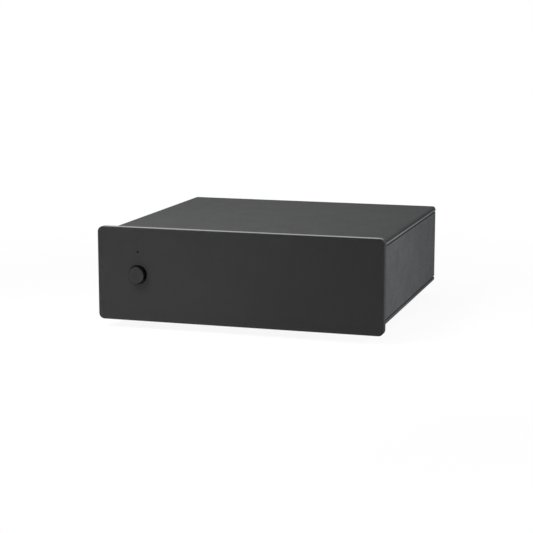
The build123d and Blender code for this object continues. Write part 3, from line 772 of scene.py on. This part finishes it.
def printed(words, place):
    """Words printed on the underside of a switch block, to be read from below."""
    clear_selection()
    bpy.ops.object.text_add(location=place, rotation=(pi, 0, pi))
    text = bpy.context.object
    text.data.body = words
    text.data.size = figure_height / figure_share
    text.data.align_x = "CENTER"
    text.data.align_y = "CENTER"
    text.data.extrude = ink_thickness
    text.data.resolution_u = outline_steps
    bpy.ops.object.convert(target="MESH")
    return text


for channel in ("left", "right"):
    _, body_y, _ = middle(f"dip_body_{channel}")
    face_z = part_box(f"dip_body_{channel}")[0][2]
    marks = []
    for number in range(1, lever_count + 1):
        node = f"dip_lever_{channel}_{number}"
        low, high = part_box(node)
        lever = block(*(end - start for start, end in zip(low, high)), middle(node))
        lever.name = lever.data.name = f"lever_{channel}_{number}"
        settle(lever)
        round_edges(lever, lever_edge, segments=2)
        fit(lever, node, "white_plastic", dip_white, node)
        lever_x = middle(node)[0]
        marks.append(printed(str(number), (lever_x, body_y - number_offset, face_z)))
        if number == 1:
            marks.append(printed("ON", (lever_x, body_y + mark_offset, face_z)))
    marking = joined(*marks)
    marking.name = marking.data.name = f"dip_marking_{channel}"
    fit(marking, "chassis", "white_plastic", dip_ink)

# ---------------------------------------------------------------- power button and its switch
# Turned from aluminium bar, its rim rounded over, and anodised black. The face carries fine
# turning marks. Behind it sit the square plunger, the spring and the moulded latching switch.

button_face, button_back = ends("power_button", 1, 0.0)
button_length = button_back - button_face
button_radius = 0.0059
button_steps = 96
rim_rings = ((0.0003, 0.0), (0.00018, 0.00003), (0.00007, 0.00012), (0.0, 0.0003))
flange_radius = 0.0078
flange_front, flange_back = 0.0070, 0.0082
boss_radius = 0.0040
bore_width = 0.0033
bore_depth = 0.00305
button = turn_on_lathe(
    "turned_button",
    [(button_radius - inward, back) for inward, back in rim_rings]
    + [
        (button_radius, flange_front),
        (flange_radius, flange_front),
        (flange_radius, flange_back),
        (boss_radius, flange_back),
        (boss_radius, button_length),
    ],
    steps=button_steps,
)
cut_away(button, block(bore_width, bore_width, 2 * bore_depth, (0, 0, button_length)))
smooth(button, angle=50)
button = set_in(button, [(button_x, button_face, button_z)], along=(0, 1, 0))

turning_pitch = 0.00025
turning_depth = 0.000001
face_roughness, turned_roughness = 0.5, 0.2
# Painted shade for the rounded rim and the sides.
rim_painted_shade = 0.003
face_dark, face_light = 0.0105, 0.0155
face_haze = 0.002
button_finish = Finish("button_anodised", face_roughness, specular=0.15)
radial = button_finish.place((button_x, 0.0, button_z), (1.0, 0.0, 1.0))
marks = button_finish.length(radial).wave(turning_pitch)
on_face = button_finish.towards("Y", start=0.93, end=0.99)
haze = button_finish.noise(face_haze, detail=3.0)
face_colour = button_finish.patches(haze, grey(face_dark), grey(face_light))
# The rounded rim and the sides are painted near black, as shade round the button in its hole.
button_colour = button_finish.blend(on_face, grey(rim_painted_shade), face_colour)
button_finish.set("Base Color", button_colour)
dullness = button_finish.spread(on_face, turned_roughness, face_roughness, 0.0, 1.0)
button_finish.set("Roughness", dullness)
button_finish.bump(marks * on_face, turning_depth)
fit(button, "button", "button_black", button_finish, "power_button")

spring_radius = 0.003
spring_wire = 0.0005
wire_steps = 10
spring_turns = 3.5
spring_steps = 84
spring_front, spring_rear = ends("button_spring", 1, spring_wire / 2)
clear_selection()
bpy.ops.mesh.primitive_circle_add(
    vertices=wire_steps,
    radius=spring_wire / 2,
    location=(spring_radius, 0, 0),
    rotation=(pi / 2, 0, 0),
)
spring = bpy.context.object
spring.name = spring.data.name = "return_spring"
settle(spring)
coil = spring.modifiers.new("coil", "SCREW")
coil.angle = spring_turns * 2 * pi
coil.screw_offset = spring_rear - spring_front
coil.steps = coil.render_steps = spring_steps
bpy.ops.object.modifier_apply(modifier="coil")
bpy.ops.object.mode_set(mode="EDIT")
bpy.ops.mesh.select_all(action="SELECT")
bpy.ops.mesh.fill_holes(sides=0)
bpy.ops.mesh.normals_make_consistent(inside=False)
bpy.ops.object.mode_set(mode="OBJECT")
smooth(spring, angle=60)
spring = set_in(spring, [(button_x, spring_front, button_z)], along=(0, 1, 0))
fit(spring, "chassis", "zinc_steel", zinc, "button_spring")
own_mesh(spring)

dip_white.dress("switch_plunger")
housing_black.dress("power_switch")

# ---------------------------------------------------------------- status light
# A moulded light guide carries the lamp's light to a pinhole in the panel. Unlit, the guide is
# dark smoke grey, and the lamp is tinted resin.

smoke_size = 0.001
smoke_dark, smoke_light = 0.0005, 0.001
smoke = Finish("smoke_acrylic", roughness=0.9, specular=0.0)
smoke_colour = smoke.blend(smoke.noise(smoke_size), grey(smoke_dark), grey(smoke_light))
smoke.set("Base Color", smoke_colour)
smoke.dress("light_pipe")

resin_size = 0.002
resin_dark, resin_light = 0.45, 0.6
resin_tint = (0.95, 1.0, 1.0)
resin = Finish("lamp_resin", roughness=0.2)
tinted = grey(resin_light, resin_tint)
resin.set("Base Color", resin.blend(resin.noise(resin_size), grey(resin_dark), tinted))
resin.dress("power_led")

# ---------------------------------------------------------------- front panel
# A 5 mm aluminium plate, finely blasted and anodised black all over. Its long edges are milled
# smoother and catch the light, and its short ones are left matt.

front_level = 0.0145
front_roughness = 0.4
front_specular = 0.15
front_swing = 0.12
milled_gloss = 0.19
end_dullness = 0.4
haze_span, haze_swing = 0.004, 0.03
front_finish, _ = blasted_anodised(
    "front_anodised", front_level, front_roughness, front_specular, front_swing, plain_tint
)
milled = front_finish.towards("Z", start=0.3, end=0.8)
matt = front_finish.towards("X", start=0.3, end=0.8)
haze = front_finish.spread(front_finish.noise(haze_span), -haze_swing, haze_swing)
dullness = haze + front_roughness - milled * milled_gloss + matt * end_dullness
front_finish.set("Roughness", dullness)
front_finish.dress("front_panel")

# ---------------------------------------------------------------- feet
# Turned rubber feet with a well for a large cross-recessed screw, and three countersunk screws
# in the floor for the bracket.

bloom_size = 0.003
pore_size = 0.0004
pore_depth = 0.00002
rubber_dark, rubber_light = 0.010, 0.020
rubber = Finish("foot_rubber", roughness=0.8, specular=0.3)
bloom = rubber.noise(bloom_size, detail=3.0)
pores = rubber.noise(pore_size)
rubber.set("Base Color", rubber.patches(bloom, grey(rubber_dark), grey(rubber_light)))
rubber.set("Roughness", rubber.spread(bloom, low=0.72, high=0.86))
rubber.bump(pores, pore_depth)

foot_radius = 0.009
skirt_radius, skirt_height = 0.0078, 0.0008
sole_radius = 0.0070
foot_edge = 0.0003
foot_bore = 0.002
foot_well = 0.0052
well_depth = 0.005
foot_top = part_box("rubber_feet")[1][2]
foot_places = [
    (x, y)
    for x in ends("rubber_feet", 0, foot_radius)
    for y in ends("rubber_feet", 1, foot_radius)
]
foot = turn_on_lathe(
    "turned_feet",
    [
        (foot_bore, foot_top),
        (foot_radius, foot_top),
        (skirt_radius, skirt_height),
        (sole_radius, 0.0),
        (foot_well, 0.0),
        (foot_well, well_depth),
        (foot_bore, well_depth),
    ],
    bored=True,
)
round_edges(foot, foot_edge, segments=3, angle=30)
foot = set_in(foot, [(x, y, 0) for x, y in foot_places], along=(0, 0, 1))
fit(foot, "chassis", "foot_rubber", rubber, "rubber_feet")

foot_screw_radius = 0.00195
foot_head_radius, foot_head_height = 0.004, 0.0024
cross_span, cross_width, cross_depth = 0.0044, 0.0008, 0.0014
shank_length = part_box("foot_screws")[1][2] - well_depth
foot_screw = pan_screw(
    "cross_head_screws", shank_length, foot_screw_radius, foot_head_radius, foot_head_height
)
for width, depth in ((cross_span, cross_width), (cross_width, cross_span)):
    cut_away(foot_screw, block(width, depth, 2 * cross_depth, (0, 0, foot_head_height)))
places = [(x, y, well_depth) for x, y in foot_places]
foot_screw = set_in(foot_screw, places, along=(0, 0, -1))
fit(foot_screw, "chassis", "black_steel", black_oxide, "foot_screws")

sunk_head = 0.0028
sunk_cone = 0.00135
sunk_tip = 0.0003
base_z, tip_z = ends("bracket_screws", 2, 0.0)
sunk_length = tip_z - base_z
sunk_screw = turn_on_lathe(
    "sunk_screws",
    [
        (sunk_head, 0.0),
        (screw_radius, sunk_cone),
        (screw_radius, sunk_length - sunk_tip),
        (screw_radius - sunk_tip, sunk_length),
    ],
    steps=screw_steps,
)
hex_recess(sunk_screw, 0.0)
smooth(sunk_screw)
middle_x, sunk_y, _ = middle("bracket_screws")
first_x, last_x = ends("bracket_screws", 0, sunk_head)
places = [(x, sunk_y, base_z) for x in (first_x, middle_x, last_x)]
sunk_screw = set_in(sunk_screw, places, along=(0, 0, 1))
fit(sunk_screw, "chassis", "black_steel", black_oxide, "bracket_screws")

# ---------------------------------------------------------------- floor, lights and camera
# A plain white floor that keeps a faint shadow. Two narrow lamps above it on the left light the
# front by bounce, and a third the top. Two soft ones stand behind, and one is beside the right.
# The camera looks from a little to the right of the front and a little above it.

white = (1.0, 1.0, 1.0, 1.0)
floor_radius = 6.0
floor_steps = 96
clear_selection()
bpy.ops.mesh.primitive_circle_add(vertices=floor_steps, radius=floor_radius, fill_type="NGON")
floor = bpy.context.object
floor.name = "floor"


def seen_directly(shading):
    """1 for what the camera, a reflection or a clear piece looks at, 0 for scattered light."""
    camera, glossy, clear = (
        shading.node("ShaderNodeLightPath", output=ray)
        for ray in ("Is Camera Ray", "Is Glossy Ray", "Is Transmission Ray")
    )
    return camera.or_more(glossy).or_more(clear)


floor_level = 0.85
shadow_share = 0.08
shadow_start, shadow_end = 0.12, 0.45
floor_finish = Finish("floor_white", roughness=0.9, specular=0.0)
floor_finish.set("Base Color", grey(floor_level))
away = floor_finish.length(floor_finish.place())
far = floor_finish.spread(away, 1.0 - shadow_share, 1.0, shadow_start, shadow_end)
glow = floor_finish.node("ShaderNodeEmission", sockets={"Color": white})
plain = Link(floor_finish, floor_finish.shader.outputs[0])
mixed = floor_finish.node(
    "ShaderNodeMixShader", sockets={0: seen_directly(floor_finish) * far, 1: plain, 2: glow}
)
floor_finish.fill(floor_finish.tree.nodes["Material Output"].inputs["Surface"], mixed)
floor.data.materials.append(floor_finish.material)

studio_light = 0.45
world = bpy.data.worlds.new("studio")
bpy.context.scene.world = world
world.use_nodes = True
air = Shading(world.node_tree)
backdrop = air.tree.nodes["Background"]
air.fill(backdrop.inputs["Color"], white)
strength = air.spread(seen_directly(air), studio_light, 1.0, 0.0, 1.0)
air.fill(backdrop.inputs["Strength"], strength)

case_middle = (0.0, 0.0, 0.035)


def softbox(name, place, size, watts, target=case_middle, spread=180):
    """A soft lamp that faces its target and shines within a cone of spread degrees."""
    lamp = bpy.data.lights.new(name, "AREA")
    lamp.shape = "RECTANGLE"
    lamp.size, lamp.size_y = size
    lamp.energy = watts
    lamp.spread = radians(spread)
    holder = bpy.data.objects.new(name, lamp)
    bpy.context.scene.collection.objects.link(holder)
    holder.location = place
    aim = Vector(target) - Vector(place)
    holder.rotation_euler = aim.to_track_quat("-Z", "Y").to_euler()


bounce_aim = (-0.16, -0.36, 0.0)
front_aim = (-0.06, -0.24, 0.0)
top_aim = (-0.06, -0.05, 0.07)
softbox("left_bounce", (-0.27, -0.5, 0.35), (0.3, 0.3), watts=1.6, target=bounce_aim, spread=60)
softbox("front_bounce", (-0.08, -0.32, 0.3), (0.1, 0.1), watts=0.17, target=front_aim, spread=40)
softbox("upper_left", (-0.2, -0.3, 0.5), (0.2, 0.2), watts=0.21, target=top_aim, spread=50)
softbox("back", (-0.25, 0.55, 0.45), (0.5, 0.4), watts=0.8)
softbox("back_left", (-0.38, 0.5, 0.42), (0.4, 0.4), watts=0.3)
softbox("right", (0.33, -0.105, 0.08), (0.17, 0.11), watts=0.79)

view_azimuth = radians(17.034)
view_elevation = radians(9.965)
view_distance = 1.03177
view_target = Vector((0.02096, -0.09775, 0.04961))
focal_pixels = 1517.76
frame_pixels = 533
sensor = 36.0
towards_camera = Vector(
    (
        sin(view_azimuth) * cos(view_elevation),
        -cos(view_azimuth) * cos(view_elevation),
        sin(view_elevation),
    )
)
lens = bpy.data.cameras.new("camera")
lens.sensor_width = sensor
lens.lens = sensor * focal_pixels / frame_pixels
camera = bpy.data.objects.new("camera", lens)
bpy.context.scene.collection.objects.link(camera)
camera.location = view_target + towards_camera * view_distance
camera.rotation_euler = (-towards_camera).to_track_quat("-Z", "Y").to_euler()
bpy.context.scene.camera = camera
bpy.context.scene.view_settings.view_transform = "Standard"
